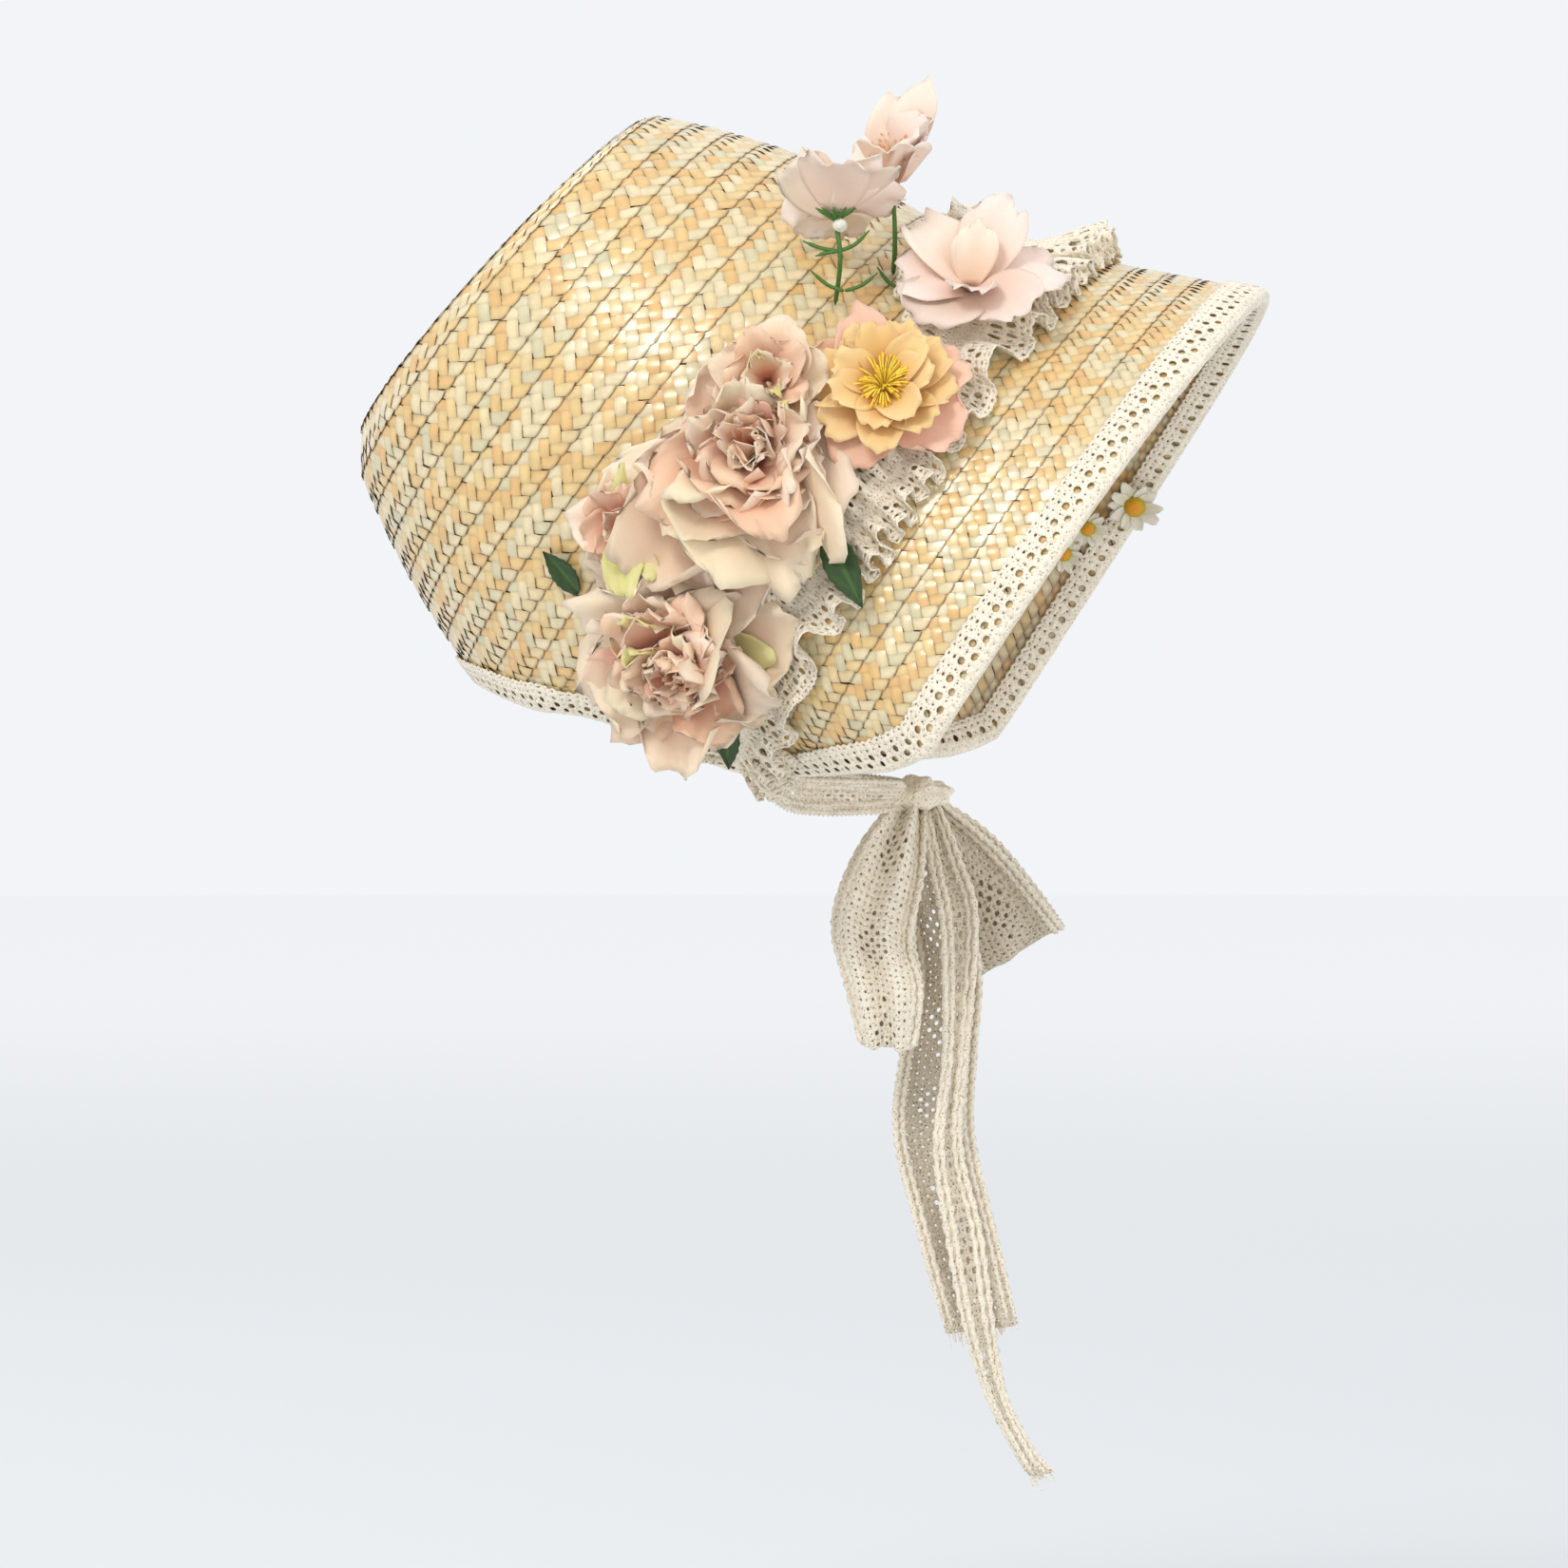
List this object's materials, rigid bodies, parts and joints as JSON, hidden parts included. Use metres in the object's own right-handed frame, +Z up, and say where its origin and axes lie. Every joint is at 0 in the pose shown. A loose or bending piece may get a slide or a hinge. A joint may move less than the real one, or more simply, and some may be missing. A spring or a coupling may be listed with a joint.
{
  "type": "flat-topped straw bonnet",
  "caption": "Flat-topped straw bonnet with a deep face-framing brim, a gathered lace ruffle, a spray of silk flowers on the wearer's right and lace ties in a bow under the chin.",
  "frame": {"origin": "the inner wall of the crown on the mid-plane, where the top of the wearer's head touches it", "axes": "+Z up on a head held upright, -Y the way the wearer faces, -X the wearer's right, where the flowers are"},
  "size_m": [0.3204, 0.3534, 0.5342],
  "materials": {
    "straw": "satin",
    "lace": "matt",
    "peony_petal": "matt",
    "lime_petal": "matt",
    "apricot_petal": "matt",
    "blush_petal": "matt",
    "stem": "matt",
    "leaf": "matt",
    "daisy_petal": "matt"
  },
  "bodies": {
    "root": {"crown_tip": "straw", "crown_side": "straw", "brim": "straw", "brim_edging": "lace", "nape_edging": "lace", "ruffle": "lace", "tie_right": "lace", "tie_left": "lace", "bow_knot": "lace", "bow_loop_near": "lace", "bow_loop_far": "lace", "bow_tail_flat": "lace", "bow_tail_folded": "lace", "peony_upper": "peony_petal", "peony_lower": "peony_petal", "rose_bud": "peony_petal", "petal_cluster": "lime_petal", "dahlia": "apricot_petal", "cosmos_1": "blush_petal", "cosmos_2": "blush_petal", "cosmos_3": "blush_petal", "stem_1": "stem", "stem_2": "stem", "leaf_back": "leaf", "leaf_front": "leaf", "leaf_low": "leaf", "daisy_1": "daisy_petal", "daisy_2": "daisy_petal", "daisy_3": "daisy_petal"}
  },
  "joints": []
}
